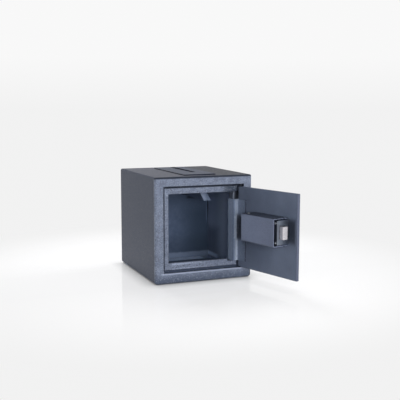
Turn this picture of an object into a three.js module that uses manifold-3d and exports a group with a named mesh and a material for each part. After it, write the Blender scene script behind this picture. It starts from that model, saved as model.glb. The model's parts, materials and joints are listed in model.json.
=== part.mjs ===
import * as THREE from 'three';
import { mergeVertices } from 'three/addons/utils/BufferGeometryUtils.js';
import Module from 'manifold-3d';

// A small steel deposit safe with its door open, in millimetres.
// X runs to the right, Y to the back and Z up; the origin is the middle of the cabinet's base.

const wasm = await Module();
wasm.setup();

// Gaps between pieces
const seatGap = 0.3;
const boltClearance = 1.2;
const windowMargin = 2;
const overcut = 1;

// Cabinet
const cabinetWidth = 250;
const cabinetDepth = 280;
const cabinetHeight = 255;
const wall = 3;
const roofEdgeRadius = 4.5;
const floorEdgeRadius = 8;
const backInset = 13;
const anchorRadius = 6;
const anchorSpacing = 140;

// Front frame
const framePlate = 8;
const frontEdgeRadius = 4.2;
const sideBorder = 21.2;
const topBorder = 22;
const bottomBorder = 26;

// Stops behind the front frame
const stopGap = 1;
const stopDepth = 11;
const stopRound = 1.2;
const stopWidthSide = 10.2;
const stopWidthTop = 13.8;
const stopWidthBottom = 16.1;
const grooveSide = 5.4;
const grooveTop = 5.4;
const grooveBottom = 6.2;
const stopEndInset = 15;
const sweepGap = 1.5;

// Hinge guard inside the cabinet
const guardSetback = 40;
const guardLip = 5.5;
const guardDepth = 30;
const guardInset = 10.3;
const guardBend = 1;

// Slot, its plate on the roof and the chute below it
const slotLeft = 1;
const slotWidth = 13;
const slotLength = 160;
const slotFront = 88;
const slotCorner = 3;
const slotPlateWidth = 84;
const slotPlateLength = 224;
const slotPlateThickness = 2.4;
const slotPlateCorner = 5;
const slotPlateBehind = 3;
const slotPlateBevel = 1;
const chuteSheet = 1.5;
const chuteDrop = 68;
const chuteAngleLeft = 27.5;
const chuteAngleRight = 29.5;
const chuteFlange = 12;
const chuteBend = 0.8;

// Door
const doorPlate = 8;
const doorSideGap = 2.6;
const doorFootGap = 1.8;
const doorHeadGap = 6.8;
const doorChamfer = 1;
const doorCorner = 1.5;
const doorOpenAngle = 105;
const pinRadius = 2.5;
const pinInDoor = 15;
const pinInFrame = 12;
const washerThickness = 1.3;
const washerRadius = 3.8;

// Z-shaped bar on the hinge side of the door
const barSheet = 3;
const barBend = 1.5;
const barFlange = 27.1;
const barDepth = 16.2;
const barReach = 19.3;
const barFoot = 16.2;
const barHead = 30.7;
const barSetback = 2.6;

// Lock on the inner face of the door
const lockHeight = 137.9;
const lockEndFromFreeEdge = 27.2;
const backingSheet = 1.5;
const caseLength = 92;
const caseTall = 57;
const caseDepth = 31;
const caseWall = 2.5;
const lidSheet = 2.5;
const boltTall = 29.6;
const boltThick = 14.7;
const boltStandoff = 20.35;
const boltOut = 11.2;
const boltInside = 17;
const boltThrow = 11;
const boltBevel = 1.5;
const tailLength = 44;
const tailTall = 26;
const tailThick = 5;
const tailRoot = 2;
const keyFromCaseEnd = 75;
const barrelRadius = 6;
const barrelIntoCase = 28;
const barrelRecess = 1.25;
const keywayWidth = 2.6;
const keywayTall = 10;
const keywayDepth = 24;
const sleeveWall = 2.7;
const sleeveFlange = 15;
const sleeveFlangeThick = 2.5;
const screwRadius = 2;
const screwInset = 6;
const bossRadius = 6;
const screwHeadRadius = 3.5;
const screwHeadTall = 2.3;
const screwInDoor = 4;

// Folded hood over the lock
const hoodSheet = 2;
const hoodBend = 1.5;
const hoodStandoff = 44;
const hoodTall = 65;
const hoodSetback = 3.5;
const hoodLength = 109.3;
const slitLength = 10;
const slitWidth = 4;
const slitRise = 11.5;
const bracketSheet = 2;
const bracketWidth = 13;
const bracketRise = 37;
const bracketFromEnd = 2;
const hoodScrewRise = 30;
const hoodScrewLength = 9;

// Facets around a full circle
const roundFacets = 24;

// Places worked out from the sizes above
const rightWall = cabinetWidth / 2;
const frontFace = -cabinetDepth / 2;
const backFace = cabinetDepth / 2;
const roofInside = cabinetHeight - wall;
const openingSide = rightWall - sideBorder;
const openingBottom = bottomBorder;
const openingTop = cabinetHeight - topBorder;
const frameBack = frontFace + framePlate;
const doorSide = openingSide - doorSideGap;
const doorBottom = openingBottom + doorFootGap;
const doorTop = openingTop - doorHeadGap;
const doorInner = frontFace + doorPlate;
const hingeX = doorSide - doorPlate / 2;
const hingeY = frontFace + doorPlate / 2;
const boreRadius = pinRadius + seatGap;
const stopFace = doorInner + stopGap;
const stopBack = stopFace + stopDepth;
const stopLeft = -openingSide + grooveSide;
const stopInnerLeft = stopLeft + stopWidthSide;
const stopTop = openingTop - grooveTop;
const stopInnerTop = stopTop - stopWidthTop;
const stopBottom = openingBottom + grooveBottom;
const stopInnerBottom = stopBottom + stopWidthBottom;
const stopEnd = openingSide - stopEndInset;
const barBottom = doorBottom + barFoot;
const barTop = doorTop - barHead;
const barLegX = doorSide - barSetback;
const barTipX = doorSide + barReach;
const barBack = doorInner + seatGap + barDepth;
const barSweep = Math.hypot(barTipX - hingeX, barBack - hingeY) + sweepGap;
const lockEndX = -doorSide + lockEndFromFreeEdge;
const caseBase = doorInner + seatGap + backingSheet;
const caseFace = caseBase + caseDepth;
const lidFace = caseFace + lidSheet;
const keyX = lockEndX + keyFromCaseEnd;
const boltMiddle = doorInner + boltStandoff;
const hoodStartX = lockEndX + hoodSetback;
const hoodEndX = hoodStartX + hoodLength;
const slotFrontY = frontFace + slotFront;
const slotBackY = slotFrontY + slotLength;
const slotRight = slotLeft + slotWidth;

// A closed mesh as a solid for cutting and joining.
function toSolid(geometry) {
  const bare = geometry.clone();
  bare.deleteAttribute('normal');
  bare.deleteAttribute('uv');
  const merged = mergeVertices(bare, 1e-4);
  const corners = merged.index.array;
  const triVerts = [];
  for (let i = 0; i < corners.length; i += 3) {
    const [a, b, c] = [corners[i], corners[i + 1], corners[i + 2]];
    if (a !== b && b !== c && c !== a) triVerts.push(a, b, c);
  }
  return new wasm.Manifold(new wasm.Mesh({
    numProp: 3,
    vertProperties: merged.attributes.position.array,
    triVerts: new Uint32Array(triVerts),
  }));
}

function toGeometry(solid) {
  const mesh = solid.getMesh();
  const geometry = new THREE.BufferGeometry();
  geometry.setAttribute('position', new THREE.BufferAttribute(mesh.vertProperties, 3));
  geometry.setIndex(new THREE.BufferAttribute(mesh.triVerts, 1));
  geometry.computeVertexNormals();
  return geometry;
}

function cut(geometry, ...tools) {
  return toGeometry(tools.reduce((solid, tool) => solid.subtract(toSolid(tool)), toSolid(geometry)));
}

function join(geometry, ...others) {
  return toGeometry(others.reduce((solid, other) => solid.add(toSolid(other)), toSolid(geometry)));
}

function keep(geometry, region) {
  return toGeometry(toSolid(geometry).intersect(toSolid(region)));
}

// A box between two corners.
function block(x0, x1, y0, y1, z0, z1) {
  const geometry = new THREE.BoxGeometry(x1 - x0, y1 - y0, z1 - z0);
  return geometry.translate((x0 + x1) / 2, (y0 + y1) / 2, (z0 + z1) / 2);
}

// Rods along Y and along Z.
function rodY(radius, x, y0, y1, z) {
  const geometry = new THREE.CylinderGeometry(radius, radius, y1 - y0, roundFacets);
  return geometry.translate(x, (y0 + y1) / 2, z);
}

function rodZ(radius, x, y, z0, z1) {
  const geometry = new THREE.CylinderGeometry(radius, radius, z1 - z0, roundFacets);
  return geometry.rotateX(Math.PI / 2).translate(x, y, (z0 + z1) / 2);
}

// A shape drawn in X and Z, made solid from y0 to y1; a bevel rounds every edge of both ends.
function plateXZ(shape, y0, y1, bevel = 0, bevelSteps = 1) {
  const geometry = new THREE.ExtrudeGeometry(shape, {
    depth: y1 - y0 - 2 * bevel,
    bevelEnabled: bevel > 0,
    bevelThickness: bevel,
    bevelSize: bevel,
    bevelOffset: -bevel,
    bevelSegments: bevelSteps,
    curveSegments: 6,
  });
  return geometry.rotateX(Math.PI / 2).translate(0, y1 - bevel, 0);
}

// A shape drawn in X and Y, made solid from z0 to z1.
function plateXY(shape, z0, z1, bevel = 0) {
  const geometry = new THREE.ExtrudeGeometry(shape, {
    depth: z1 - z0 - 2 * bevel,
    bevelEnabled: bevel > 0,
    bevelThickness: bevel,
    bevelSize: bevel,
    bevelOffset: -bevel,
    bevelSegments: 2,
    curveSegments: 6,
  });
  return geometry.translate(0, 0, z0 + bevel);
}

// A shape drawn in Y and Z, made solid from x0 to x1.
function plateYZ(shape, x0, x1) {
  const geometry = new THREE.ExtrudeGeometry(shape, {
    depth: x1 - x0,
    bevelEnabled: false,
    curveSegments: 6,
  });
  const turn = new THREE.Matrix4().makeBasis(
    new THREE.Vector3(0, 1, 0),
    new THREE.Vector3(0, 0, 1),
    new THREE.Vector3(1, 0, 0),
  );
  return geometry.applyMatrix4(turn).translate(x0, 0, 0);
}

function polygon(points) {
  return new THREE.Shape(points.map(([u, v]) => new THREE.Vector2(u, v)));
}

// A rectangle with round corners: one radius for the lower pair, one for the upper pair.
function roundedRect(u0, u1, v0, v1, lower, upper = lower) {
  const shape = new THREE.Shape();
  shape.moveTo(u0 + lower, v0);
  shape.lineTo(u1 - lower, v0);
  shape.absarc(u1 - lower, v0 + lower, lower, -Math.PI / 2, 0);
  shape.lineTo(u1, v1 - upper);
  shape.absarc(u1 - upper, v1 - upper, upper, 0, Math.PI / 2);
  shape.lineTo(u0 + upper, v1);
  shape.absarc(u0 + upper, v1 - upper, upper, Math.PI / 2, Math.PI);
  shape.lineTo(u0, v0 + lower);
  shape.absarc(u0 + lower, v0 + lower, lower, Math.PI, Math.PI * 1.5);
  return shape;
}

// The section of a folded sheet: a centre line with round bends, thickened to both sides.
function foldedSheet(corners, thickness, bendRadius, bendSteps = 4) {
  const points = corners.map(([u, v]) => new THREE.Vector2(u, v));
  const heading = (from, to) => to.clone().sub(from).normalize();
  const middleRadius = bendRadius + thickness / 2;
  const left = [];
  const right = [];
  const mark = (point, normal) => {
    left.push(point.clone().addScaledVector(normal, thickness / 2));
    right.push(point.clone().addScaledVector(normal, -thickness / 2));
  };
  points.forEach((corner, i) => {
    const before = i > 0 ? heading(points[i - 1], corner) : heading(corner, points[1]);
    const normal = new THREE.Vector2(-before.y, before.x);
    if (i === 0 || i === points.length - 1) {
      mark(corner, normal);
      return;
    }
    const after = heading(corner, points[i + 1]);
    const turn = Math.atan2(before.cross(after), before.dot(after));
    const side = Math.sign(turn) * middleRadius;
    const setback = middleRadius * Math.tan(Math.abs(turn) / 2);
    const centre = corner.clone().addScaledVector(before, -setback).addScaledVector(normal, side);
    for (let step = 0; step <= bendSteps; step += 1) {
      const turned = normal.clone().rotateAround(new THREE.Vector2(), (turn * step) / bendSteps);
      mark(centre.clone().addScaledVector(turned, -side), turned);
    }
  });
  return new THREE.Shape([...left, ...right.reverse()]);
}

// Body shell: one sheet folded round the sides, roof and floor, with the slot and anchor holes.
function bodyShell() {
  const outer = roundedRect(-rightWall, rightWall, 0, cabinetHeight, floorEdgeRadius, roofEdgeRadius);
  outer.holes.push(roundedRect(
    -rightWall + wall, rightWall - wall, wall, roofInside,
    floorEdgeRadius - wall, roofEdgeRadius - wall,
  ));
  const slot = roundedRect(slotLeft, slotRight, slotFrontY, slotBackY, slotCorner);
  const tools = [plateXY(slot, roofInside - overcut, cabinetHeight + overcut)];
  for (const side of [-1, 1]) {
    tools.push(rodZ(anchorRadius, (side * anchorSpacing) / 2, 0, -overcut, wall + overcut));
  }
  return cut(plateXZ(outer, frameBack, backFace), ...tools);
}

// The outline that fits inside the shell.
function insideOutline() {
  return roundedRect(
    -rightWall + wall + seatGap, rightWall - wall - seatGap, wall + seatGap, roofInside - seatGap,
    floorEdgeRadius - wall, roofEdgeRadius - wall,
  );
}

// Back panel, set in from the rear edge.
function backPanel() {
  return plateXZ(insideOutline(), backFace - backInset - wall, backFace - backInset);
}

// Front frame: thick plate with rounded outer edges, the door opening and the hinge bores.
function frontFrame() {
  const outline = roundedRect(-rightWall, rightWall, 0, cabinetHeight, floorEdgeRadius, roofEdgeRadius);
  const deepBack = frameBack + frontEdgeRadius;
  const slab = plateXZ(outline, frontFace, deepBack, frontEdgeRadius, 4);
  const front = keep(slab, block(-rightWall, rightWall, frontFace, frameBack, 0, cabinetHeight));
  const opening = block(
    -openingSide, openingSide, frontFace - overcut, frameBack + overcut, openingBottom, openingTop,
  );
  const upperBore = rodZ(
    boreRadius, hingeX, hingeY, openingTop - overcut, openingTop + pinInFrame + seatGap,
  );
  const lowerBore = rodZ(
    boreRadius, hingeX, hingeY, openingBottom - pinInFrame - seatGap, openingBottom + overcut,
  );
  return cut(front, opening, upperBore, lowerBore);
}

// The outline of the stops, and of the web behind them: open to the hinge side, and cut down at
// the lower right where the hinge bar swings past.
function stopOutline(left, bottom, top, end) {
  const clearX = hingeX - barSweep;
  const clearZ = barBottom - sweepGap;
  return polygon([
    [left, bottom],
    [end, bottom],
    [end, clearZ],
    [clearX, clearZ],
    [clearX, stopInnerBottom],
    [stopInnerLeft, stopInnerBottom],
    [stopInnerLeft, stopInnerTop],
    [end, stopInnerTop],
    [end, top],
    [left, top],
  ]);
}

function stopFrame() {
  return plateXZ(stopOutline(stopLeft, stopBottom, stopTop, stopEnd), stopFace, stopBack, stopRound, 3);
}

// Web: the plate that carries the stops, with a window that the bolt is thrown through.
function frameWeb() {
  const outline = stopOutline(
    -rightWall + wall + seatGap, wall + seatGap, roofInside - seatGap, rightWall - wall - seatGap,
  );
  const plate = keep(
    plateXZ(outline, stopBack, stopBack + wall),
    plateXZ(insideOutline(), stopBack - overcut, stopBack + wall + overcut),
  );
  const thrownTip = lockEndX - boltOut - boltThrow;
  const reach = boltTall / 2 + windowMargin;
  const window = block(
    thrownTip - windowMargin, stopInnerLeft + windowMargin, stopBack - overcut, stopBack + wall + overcut,
    lockHeight - reach, lockHeight + reach,
  );
  return cut(plate, window);
}

// Hinge guard: a folded strip that shuts the hinge bar's pocket off from the cavity.
function hingeGuard() {
  const lipY = frontFace + guardSetback + wall / 2;
  const lipX = openingSide - guardInset;
  const webX = lipX + guardLip - wall / 2;
  const section = foldedSheet([
    [lipX, lipY],
    [webX, lipY],
    [webX, lipY + guardDepth - wall],
    [rightWall - wall - seatGap, lipY + guardDepth - wall],
  ], wall, guardBend);
  return keep(
    plateXY(section, wall, roofInside),
    plateXZ(insideOutline(), frontFace, backFace),
  );
}

// Slot plate: a raised plate on the roof around the deposit slot.
function slotPlate() {
  const half = slotPlateWidth / 2;
  const backY = slotBackY + slotPlateBehind;
  const plate = roundedRect(-half, half, backY - slotPlateLength, backY, slotPlateCorner);
  plate.holes.push(roundedRect(slotLeft, slotRight, slotFrontY, slotBackY, slotCorner));
  return plateXY(plate, cabinetHeight, cabinetHeight + slotPlateThickness, slotPlateBevel);
}

// Where a leaning chute wall's centre line stands, a given drop below the roof.
function chuteX(side, drop) {
  const lean = THREE.MathUtils.degToRad(side < 0 ? chuteAngleLeft : chuteAngleRight);
  const start = side < 0 ? slotLeft : slotRight;
  return start + drop * Math.tan(lean) + (side * chuteSheet) / 2 / Math.cos(lean);
}

// Chute side wall: a folded sheet with a flange under the roof, leaning to the right.
function chuteWall(side) {
  const flangeZ = roofInside - chuteSheet / 2;
  const section = foldedSheet([
    [chuteX(side, 0) + side * chuteFlange, flangeZ],
    [chuteX(side, chuteSheet / 2), flangeZ],
    [chuteX(side, chuteDrop), roofInside - chuteDrop],
  ], chuteSheet, chuteBend);
  return plateXZ(section, slotFrontY + seatGap, slotBackY - seatGap);
}

// Chute end plate: closes the front or the back of the chute, and follows its leaning walls.
function chuteEnd(y0) {
  const halfSheet = chuteSheet / 2;
  const top = roofInside;
  const low = roofInside - chuteDrop;
  const outline = polygon([
    [chuteX(-1, 0) - halfSheet, top],
    [chuteX(-1, chuteDrop) - halfSheet, low],
    [chuteX(1, chuteDrop) + halfSheet, low],
    [chuteX(1, 0) + halfSheet, top],
  ]);
  return plateXZ(outline, y0, y0 + chuteSheet);
}

// Washer on the lower hinge pin.
function hingeWasher() {
  const ring = rodZ(washerRadius, hingeX, hingeY, openingBottom, openingBottom + washerThickness);
  return cut(ring, rodZ(boreRadius, hingeX, hingeY, openingBottom - overcut, openingBottom + doorFootGap));
}

// Places of the four lock screws.
function lockScrewPlaces() {
  const places = [];
  for (const x of [lockEndX + screwInset, lockEndX + caseLength - screwInset]) {
    for (const side of [-1, 1]) {
      places.push([x, lockHeight + side * (caseTall / 2 - screwInset)]);
    }
  }
  return places;
}

// Door plate with broken edges, pin holes, the key hole and blind screw holes.
function doorPanel() {
  const outline = roundedRect(-doorSide, doorSide, doorBottom, doorTop, doorCorner);
  const holeRadius = screwRadius + seatGap;
  const deep = doorInner - screwInDoor - seatGap;
  const sleeveBore = barrelRadius + sleeveWall + 2 * seatGap;
  const tools = [
    rodZ(boreRadius, hingeX, hingeY, doorTop - pinInDoor - seatGap, doorTop + overcut),
    rodZ(boreRadius, hingeX, hingeY, doorBottom - overcut, doorBottom + pinInDoor + seatGap),
    rodY(sleeveBore, keyX, frontFace - overcut, doorInner + overcut, lockHeight),
  ];
  for (const [x, z] of lockScrewPlaces()) {
    tools.push(rodY(holeRadius, x, deep, doorInner + overcut, z));
  }
  return cut(plateXZ(outline, frontFace, doorInner, doorChamfer), ...tools);
}

// Hinge pins: pressed into the door's edge, turning in the front frame.
function hingePin(z0, z1) {
  return rodZ(pinRadius, hingeX, hingeY, z0, z1);
}

// Hinge bar: a Z-shaped fold that hooks behind the front frame when the door is shut.
function hingeBar() {
  const flangeY = doorInner + seatGap + barSheet / 2;
  const legX = barLegX + barSheet / 2;
  const hookY = barBack - barSheet / 2;
  const section = foldedSheet([
    [barLegX - barFlange, flangeY],
    [legX, flangeY],
    [legX, hookY],
    [barTipX, hookY],
  ], barSheet, barBend);
  return plateXY(section, barBottom, barTop);
}

function backingPlate() {
  const outline = roundedRect(
    lockEndX, lockEndX + caseLength, lockHeight - caseTall / 2, lockHeight + caseTall / 2, doorCorner,
  );
  const tools = lockScrewPlaces().map(([x, z]) => rodY(screwRadius + seatGap, x, doorInner, caseBase, z));
  const bore = rodY(barrelRadius + sleeveWall + 2 * seatGap, keyX, doorInner, caseBase, lockHeight);
  return cut(plateXZ(outline, doorInner + seatGap, caseBase - seatGap), bore, ...tools);
}

// Lock case: an open tray with bosses for the screws, a key bore, and a window whose lower edge
// the bolt slides on.
function lockCase() {
  const z0 = lockHeight - caseTall / 2;
  const z1 = lockHeight + caseTall / 2;
  const outline = roundedRect(lockEndX, lockEndX + caseLength, z0, z1, doorCorner);
  const tray = plateXZ(outline, caseBase, caseFace);
  const hollow = block(
    lockEndX + caseWall, lockEndX + caseLength - caseWall, caseBase + caseWall, caseFace + overcut,
    z0 + caseWall, z1 - caseWall,
  );
  const bosses = lockScrewPlaces().map(([x, z]) => rodY(bossRadius, x, caseBase, caseFace, z));
  const outer = block(lockEndX, lockEndX + caseLength, caseBase, caseFace, z0, z1);
  const body = keep(join(cut(tray, hollow), ...bosses), outer);
  const window = block(
    lockEndX - overcut, lockEndX + caseWall + overcut,
    boltMiddle - boltThick / 2 - boltClearance, boltMiddle + boltThick / 2 + boltClearance,
    lockHeight - boltTall / 2 - seatGap, lockHeight + boltTall / 2 + boltClearance,
  );
  const holeRadius = screwRadius + seatGap;
  const tools = lockScrewPlaces().map(
    ([x, z]) => rodY(holeRadius, x, caseBase - overcut, caseFace + overcut, z),
  );
  const bore = rodY(
    barrelRadius + 2 * seatGap, keyX, caseBase - overcut, caseBase + caseWall + overcut, lockHeight,
  );
  return cut(body, window, bore, ...tools);
}

function caseLid() {
  const outline = roundedRect(
    lockEndX, lockEndX + caseLength, lockHeight - caseTall / 2, lockHeight + caseTall / 2, doorCorner,
  );
  const holeRadius = screwRadius + seatGap;
  const tools = lockScrewPlaces().map(([x, z]) => rodY(holeRadius, x, caseFace, lidFace + overcut, z));
  return cut(plateXZ(outline, caseFace + seatGap, lidFace), ...tools);
}

// A pan-head screw that holds the lock to the door, with its head on the lid.
function lockScrew([x, z]) {
  const head = lidFace + seatGap;
  const shank = rodY(screwRadius, x, doorInner - screwInDoor, head + screwHeadTall / 2, z);
  return join(shank, rodY(screwHeadRadius, x, head, head + screwHeadTall, z));
}

// Hood over the lock: folded round the case, shut towards the hinge, open at the bolt, with a
// short slit in each flange there.
function lockHood() {
  const z0 = lockHeight - hoodTall / 2;
  const z1 = lockHeight + hoodTall / 2;
  const half = hoodSheet / 2;
  const base = doorInner + seatGap;
  const face = doorInner + hoodStandoff;
  const section = foldedSheet([
    [base, z0 + half],
    [face - half, z0 + half],
    [face - half, z1 - half],
    [base, z1 - half],
  ], hoodSheet, hoodBend);
  const endWall = roundedRect(base, face, z0, z1, hoodBend + hoodSheet);
  const hood = join(
    plateYZ(section, hoodStartX, hoodEndX),
    plateYZ(endWall, hoodEndX - hoodSheet, hoodEndX),
    block(hoodEndX - hoodSheet, hoodEndX, base, base + hoodStandoff / 2, z0, z1),
  );
  const slitMiddle = doorInner + slitRise;
  const slits = block(
    hoodStartX - overcut, hoodStartX + slitLength, slitMiddle - slitWidth / 2, slitMiddle + slitWidth / 2,
    z0 - overcut, z1 + overcut,
  );
  return cut(hood, slits, ...[-1, 1].map(hoodScrewHole));
}

function hoodScrewX() {
  return hoodEndX - hoodSheet - bracketFromEnd - bracketWidth / 2;
}

function hoodScrewHole(side) {
  const edge = lockHeight + side * (hoodTall / 2 + overcut);
  const inner = edge - side * (hoodScrewLength + seatGap);
  const y = doorInner + hoodScrewRise;
  return rodZ(screwRadius + seatGap, hoodScrewX(), y, Math.min(edge, inner), Math.max(edge, inner));
}

// Bracket on the door inside the hood, with an ear for each hood screw.
function hoodBracket() {
  const half = bracketSheet / 2;
  const base = doorInner + seatGap + half;
  const reach = hoodTall / 2 - hoodSheet - seatGap - half;
  const section = foldedSheet([
    [doorInner + bracketRise, lockHeight - reach],
    [base, lockHeight - reach],
    [base, lockHeight + reach],
    [doorInner + bracketRise, lockHeight + reach],
  ], bracketSheet, hoodBend);
  const x1 = hoodEndX - hoodSheet - bracketFromEnd;
  return cut(plateYZ(section, x1 - bracketWidth, x1), ...[-1, 1].map(hoodScrewHole));
}

// A pan-head screw through the hood's flange and the bracket's ear.
function hoodScrew(side) {
  const y = doorInner + hoodScrewRise;
  const seat = lockHeight + side * (hoodTall / 2 + seatGap);
  const top = seat + side * screwHeadTall;
  const middle = seat + (side * screwHeadTall) / 2;
  const tip = seat - side * hoodScrewLength;
  return join(
    rodZ(screwRadius, hoodScrewX(), y, Math.min(tip, middle), Math.max(tip, middle)),
    rodZ(screwHeadRadius, hoodScrewX(), y, Math.min(seat, top), Math.max(seat, top)),
  );
}

// Key sleeve: guides the key through the door, with a flange on the outer face.
function keySleeve() {
  const outerRadius = barrelRadius + sleeveWall + seatGap;
  const flangeFront = frontFace - seatGap - sleeveFlangeThick;
  const tube = rodY(outerRadius, keyX, flangeFront, caseBase - seatGap, lockHeight);
  const flange = rodY(sleeveFlange, keyX, flangeFront, frontFace - seatGap, lockHeight);
  const bore = rodY(barrelRadius + seatGap, keyX, flangeFront - overcut, caseBase, lockHeight);
  return cut(join(tube, flange), bore);
}

// Lock bolt: a bevelled block on a flat tail that stops short of the key barrel.
function lockBolt() {
  const tip = lockEndX - boltOut;
  const root = lockEndX + boltInside;
  const y0 = boltMiddle - boltThick / 2;
  const y1 = boltMiddle + boltThick / 2;
  const outline = polygon([
    [root, y0],
    [root, y1],
    [tip + boltBevel, y1],
    [tip, y1 - boltBevel],
    [tip, y0 + boltBevel],
    [tip + boltBevel, y0],
  ]);
  const head = plateXY(outline, lockHeight - boltTall / 2, lockHeight + boltTall / 2);
  const tail = block(
    root - tailRoot, root + tailLength, boltMiddle - tailThick / 2, boltMiddle + tailThick / 2,
    lockHeight - tailTall / 2, lockHeight + tailTall / 2,
  );
  return join(head, tail);
}

// Key barrel: turns in the sleeve and the case, with a blind keyway in its outer end.
function keyBarrel() {
  const outerEnd = frontFace - barrelRecess;
  const body = rodY(barrelRadius, keyX, outerEnd, caseBase + barrelIntoCase, lockHeight);
  const keyway = block(
    keyX - keywayWidth / 2, keyX + keywayWidth / 2, outerEnd - overcut, outerEnd + keywayDepth,
    lockHeight - keywayTall / 2, lockHeight + keywayTall / 2,
  );
  return cut(body, keyway);
}

const slatePaint = { color: 0x4c5366, roughness: 0.5, metalness: 0.2 };
const zincPlate = { color: 0xb6b4ba, roughness: 0.35, metalness: 0.9 };
const nickelPlate = { color: 0xc8c5ce, roughness: 0.25, metalness: 0.95 };
const brightSteel = { color: 0x9a9ba1, roughness: 0.4, metalness: 0.9 };

function part(name, geometry, finish) {
  const mesh = new THREE.Mesh(geometry, new THREE.MeshStandardMaterial(finish));
  mesh.name = name;
  return mesh;
}

const cabinet = new THREE.Group();
cabinet.add(
  part('body_shell', bodyShell(), slatePaint),
  part('back_panel', backPanel(), slatePaint),
  part('front_frame', frontFrame(), slatePaint),
  part('frame_web', frameWeb(), slatePaint),
  part('stop_frame', stopFrame(), slatePaint),
  part('hinge_guard', hingeGuard(), slatePaint),
  part('slot_plate', slotPlate(), slatePaint),
  part('chute_left_wall', chuteWall(-1), slatePaint),
  part('chute_right_wall', chuteWall(1), slatePaint),
  part('chute_front_plate', chuteEnd(slotFrontY - chuteSheet), slatePaint),
  part('chute_back_plate', chuteEnd(slotBackY), slatePaint),
  part('hinge_washer', hingeWasher(), brightSteel),
);

// The door's pieces are written where they stand with the door shut; the two groups then swing
// them open about the hinge pins.
const doorShut = new THREE.Group();
doorShut.position.set(-hingeX, -hingeY, 0);
doorShut.add(
  part('door_plate', doorPanel(), slatePaint),
  part('hinge_pin_upper', hingePin(doorTop - pinInDoor, openingTop + pinInFrame), brightSteel),
  part('hinge_pin_lower', hingePin(openingBottom - pinInFrame, doorBottom + pinInDoor), brightSteel),
  part('hinge_bar', hingeBar(), slatePaint),
  part('lock_backing_plate', backingPlate(), brightSteel),
  part('lock_case', lockCase(), zincPlate),
  part('lock_case_lid', caseLid(), zincPlate),
  part('lock_hood', lockHood(), slatePaint),
  part('hood_bracket', hoodBracket(), brightSteel),
  part('hood_screw_upper', hoodScrew(1), brightSteel),
  part('hood_screw_lower', hoodScrew(-1), brightSteel),
  part('key_sleeve', keySleeve(), nickelPlate),
  part('lock_bolt', lockBolt(), nickelPlate),
  part('key_barrel', keyBarrel(), nickelPlate),
);
lockScrewPlaces().forEach((place, i) => {
  doorShut.add(part(`lock_screw_${i + 1}`, lockScrew(place), brightSteel));
});
const door = new THREE.Group();
door.position.set(hingeX, hingeY, 0);
door.rotation.z = THREE.MathUtils.degToRad(doorOpenAngle);
door.add(doorShut);

const safe = new THREE.Group();
safe.add(cabinet, door);

export default safe;
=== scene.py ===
import json
import math

import bmesh
import bpy
import numpy as np
from mathutils import Matrix, Vector


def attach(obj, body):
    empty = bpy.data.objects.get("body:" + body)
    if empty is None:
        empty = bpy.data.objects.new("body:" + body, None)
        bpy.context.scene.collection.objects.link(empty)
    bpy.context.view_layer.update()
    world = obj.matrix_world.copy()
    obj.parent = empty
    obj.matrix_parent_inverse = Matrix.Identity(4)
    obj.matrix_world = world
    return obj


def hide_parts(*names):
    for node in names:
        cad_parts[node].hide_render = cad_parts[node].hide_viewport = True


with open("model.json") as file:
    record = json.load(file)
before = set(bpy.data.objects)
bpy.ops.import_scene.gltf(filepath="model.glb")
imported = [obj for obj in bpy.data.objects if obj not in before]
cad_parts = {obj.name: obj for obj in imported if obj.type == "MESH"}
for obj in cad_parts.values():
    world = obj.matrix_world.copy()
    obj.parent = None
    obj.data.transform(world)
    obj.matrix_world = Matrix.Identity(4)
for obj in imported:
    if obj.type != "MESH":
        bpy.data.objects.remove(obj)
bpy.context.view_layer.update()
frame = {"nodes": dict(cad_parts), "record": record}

mm = 0.001  # everything below is written in millimetres and scaled by this
print("frame loaded:", len(frame["nodes"]), "nodes")


# Camera: found from the vanishing lines of the cabinet, and the leaf of the open door
cameraView = {
    "place": (-653.05, -1690.96, 411.19),
    "yaw": 22.4595,
    "pitch": -7.2334,
    "roll": 0.0876,
    "lens": 64.075,
    "sensor": 36.0,
    "reach": 60.0,  # the far clip, in metres, beyond the floor's edge
}


def makeCamera(view):
    yaw, pitch, roll = (math.radians(view[key]) for key in ("yaw", "pitch", "roll"))
    forward = Vector((math.sin(yaw) * math.cos(pitch), math.cos(yaw) * math.cos(pitch), math.sin(pitch)))
    level = Vector((math.cos(yaw), -math.sin(yaw), 0.0))
    upright = level.cross(forward)
    right = level * math.cos(roll) + upright * math.sin(roll)
    up = upright * math.cos(roll) - level * math.sin(roll)
    data = bpy.data.cameras.new("photoCamera")
    data.lens = view["lens"]
    data.sensor_width = view["sensor"]
    data.clip_end = view["reach"]
    camera = bpy.data.objects.new("photoCamera", data)
    turn = Matrix((right, up, -forward)).transposed().to_4x4()
    camera.matrix_world = Matrix.Translation(Vector(view["place"]) * mm) @ turn
    bpy.context.scene.collection.objects.link(camera)
    bpy.context.scene.camera = camera


makeCamera(cameraView)
bpy.context.scene.view_settings.view_transform = "Standard"
print("camera placed")


# Colours are written as sRGB hex, the way a paint card gives them
def linearFromHex(code):
    channels = [int(code[i:i + 2], 16) / 255 for i in (1, 3, 5)]
    return [c / 12.92 if c <= 0.04045 else ((c + 0.055) / 1.055) ** 2.4 for c in channels] + [1.0]


# values sets properties or sockets of the node, and links gives the outputs that feed its sockets
def addNode(tree, kind, values=None, links=None):
    node = tree.nodes.new(kind)
    for key, value in (values or {}).items():
        if isinstance(key, str) and hasattr(node, key):
            setattr(node, key, value)
        else:
            node.inputs[key].default_value = value
    for key, source in (links or {}).items():
        tree.links.new(source, node.inputs[key])
    return node


def newMaterial(name):
    material = bpy.data.materials.new(name)
    material.use_nodes = True
    material.node_tree.nodes.clear()
    return material, material.node_tree


def scaleOf(sizeMm):  # a texture node's scale for a feature of that real size
    return 1.0 / (sizeMm * mm)


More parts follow.
